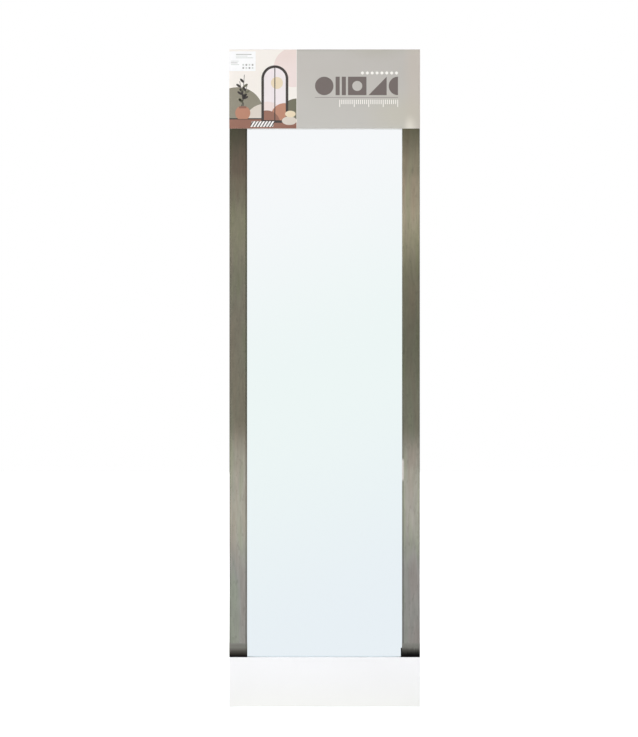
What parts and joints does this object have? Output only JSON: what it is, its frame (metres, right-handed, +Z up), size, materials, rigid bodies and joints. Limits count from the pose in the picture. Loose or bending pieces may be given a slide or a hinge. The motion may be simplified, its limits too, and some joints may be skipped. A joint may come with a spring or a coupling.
{
  "type": "framed wall mirror",
  "caption": "Tall narrow wall mirror in a flat grey-brown frame, hung by D rings, with a slip-on header card and foot card.",
  "frame": {"origin": "on the wall plane, midway between the two hanging points, where the wall hooks bear in the raised D rings", "axes": "+Z up the mirror, +X to its right as seen from the front, +Y from the mirror to the wall"},
  "size_m": [0.3684, 0.0242, 1.2692],
  "materials": {
    "moulding": "satin grey-brown foil on a polystyrene moulding",
    "glass": "polished",
    "silvering": "silver with a grey back paint",
    "liner_foam": "closed-cell foam sheet",
    "back_board": "smooth brown fibreboard",
    "nail_steel": "bright strip steel",
    "point_steel": "zinc plated",
    "strap_steel": "nickel plated",
    "ring_steel": "nickel plated wire",
    "screw_steel": "zinc plated",
    "bumper_rubber": "soft translucent grey",
    "tape": "black binding tape",
    "header_board": "printed satin paperboard",
    "sticker_paper": "coated white paper",
    "foot_board": "plain white paperboard"
  },
  "bodies": {
    "mirror": {"left_stile": "moulding", "right_stile": "moulding", "top_rail": "moulding", "bottom_rail": "moulding", "mirror_glass": "glass", "silver_backing": "silvering", "foam_liner": "liner_foam", "back_board": "back_board", "v_nails_top_left": "nail_steel", "v_nails_top_right": "nail_steel", "v_nails_bottom_left": "nail_steel", "v_nails_bottom_right": "nail_steel", "left_points": "point_steel", "right_points": "point_steel", "top_points": "point_steel", "bottom_points": "point_steel", "left_hanger_strap": "strap_steel", "right_hanger_strap": "strap_steel", "left_hanger_screws": "screw_steel", "right_hanger_screws": "screw_steel", "left_bumper": "bumper_rubber", "right_bumper": "bumper_rubber", "left_end_tape": "tape", "right_end_tape": "tape"},
    "left_ring": {"left_hanger_ring": "ring_steel"},
    "right_ring": {"right_hanger_ring": "ring_steel"},
    "header": {"header_card": "header_board", "header_sticker": "sticker_paper"},
    "foot": {"foot_card": "foot_board"}
  },
  "joints": [
    {"name": "left_ring_swing", "type": "hinge", "parent": "mirror", "child": "left_ring", "pos_m": [-0.1705, -0.0028, -0.013], "axis": [1, 0, 0], "range_deg": [0, 175]},
    {"name": "right_ring_swing", "type": "hinge", "parent": "mirror", "child": "right_ring", "pos_m": [0.1705, -0.0028, -0.013], "axis": [1, 0, 0], "range_deg": [0, 175]},
    {"name": "header_card_slide", "type": "slide", "parent": "mirror", "child": "header", "axis": [0, 0, 1], "range_m": [0, 0.165]},
    {"name": "foot_card_slide", "type": "slide", "parent": "mirror", "child": "foot", "axis": [0, 0, -1], "range_m": [0, 0.105]}
  ]
}
